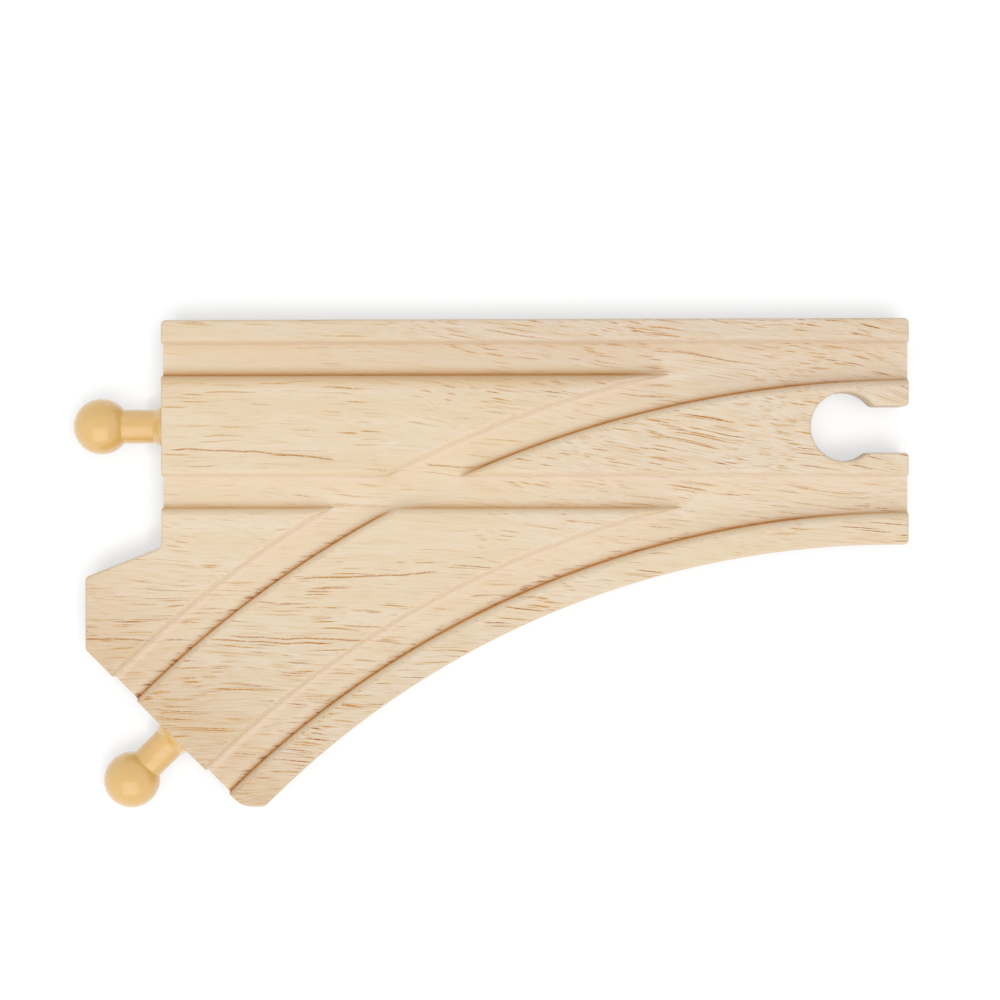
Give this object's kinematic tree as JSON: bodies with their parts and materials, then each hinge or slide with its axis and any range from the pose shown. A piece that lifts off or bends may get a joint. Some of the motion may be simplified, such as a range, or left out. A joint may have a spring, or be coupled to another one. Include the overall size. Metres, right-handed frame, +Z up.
{
  "type": "model turnout switch",
  "caption": "Wooden toy railway turnout: a grooved board where a curved road joins a straight one, with a keyhole socket at one end and ball connectors at the others.",
  "frame": {"origin": "on the underside, under the middle of the straight road's centreline", "axes": "+X along the straight road towards the socket end; +Y away from the branch; +Z up, out of the grooved face"},
  "size_m": [0.1621, 0.0951, 0.012],
  "materials": {
    "wood": "sanded pale hardwood, clear satin sealer",
    "connector_plastic": "moulded, smooth gloss"
  },
  "bodies": {
    "root": {"track_board": "wood", "straight_connector": "connector_plastic", "branch_connector": "connector_plastic"}
  },
  "joints": []
}
